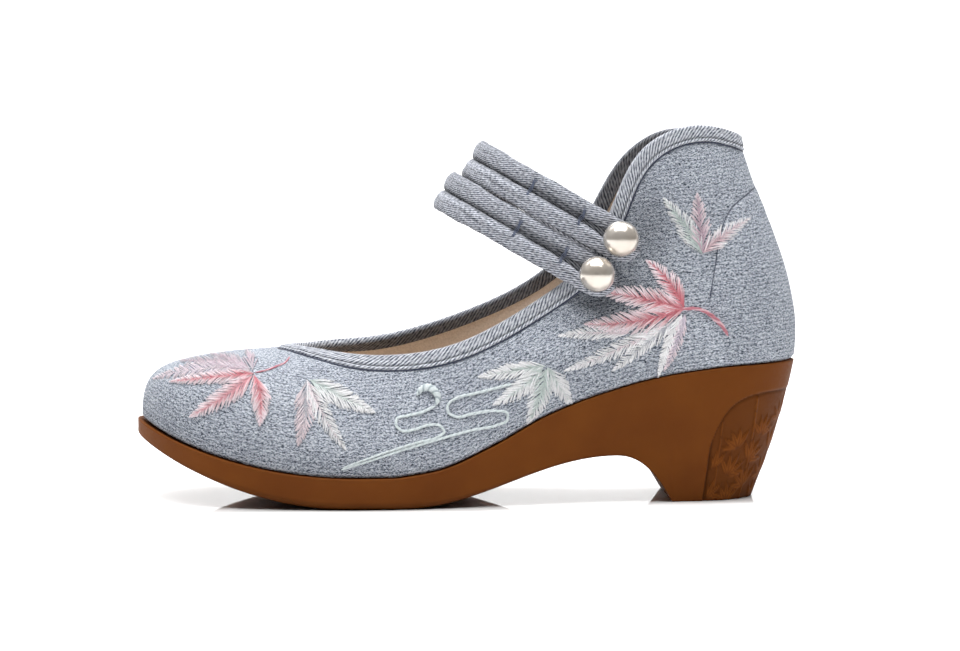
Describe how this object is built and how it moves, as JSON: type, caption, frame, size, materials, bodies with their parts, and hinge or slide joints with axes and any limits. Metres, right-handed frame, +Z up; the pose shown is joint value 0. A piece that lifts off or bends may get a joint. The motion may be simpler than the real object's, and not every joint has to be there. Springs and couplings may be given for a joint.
{
  "type": "embroidered mary jane shoe",
  "caption": "Low-heeled cloth mary jane with a deep throat, taped topline, looped instep straps on pearl buttons and a moulded one-piece sole with heel.",
  "frame": {"origin": "on the floor, at the middle of the shoe's length and width", "axes": "-X towards the toe, -Y towards the outer (lateral) side with the pearl buttons, +Z up"},
  "size_m": [0.2446, 0.0874, 0.138],
  "materials": {
    "moulded_rubber": "satin moulded brown rubber",
    "insole_cloth": "tan cotton lining",
    "crepe_cloth": "blue-grey crepe-woven cotton with embroidery",
    "twill_tape": "grey-blue cotton twill tape",
    "pearl_coat": "cream pearl coat"
  },
  "bodies": {
    "root": {"outsole": "moulded_rubber", "insole": "insole_cloth", "upper": "crepe_cloth", "heel_counter": "crepe_cloth", "topline_binding": "twill_tape", "strap_rear": "twill_tape", "strap_front": "twill_tape", "pearl_rear": "pearl_coat", "pearl_front": "pearl_coat"}
  },
  "joints": []
}
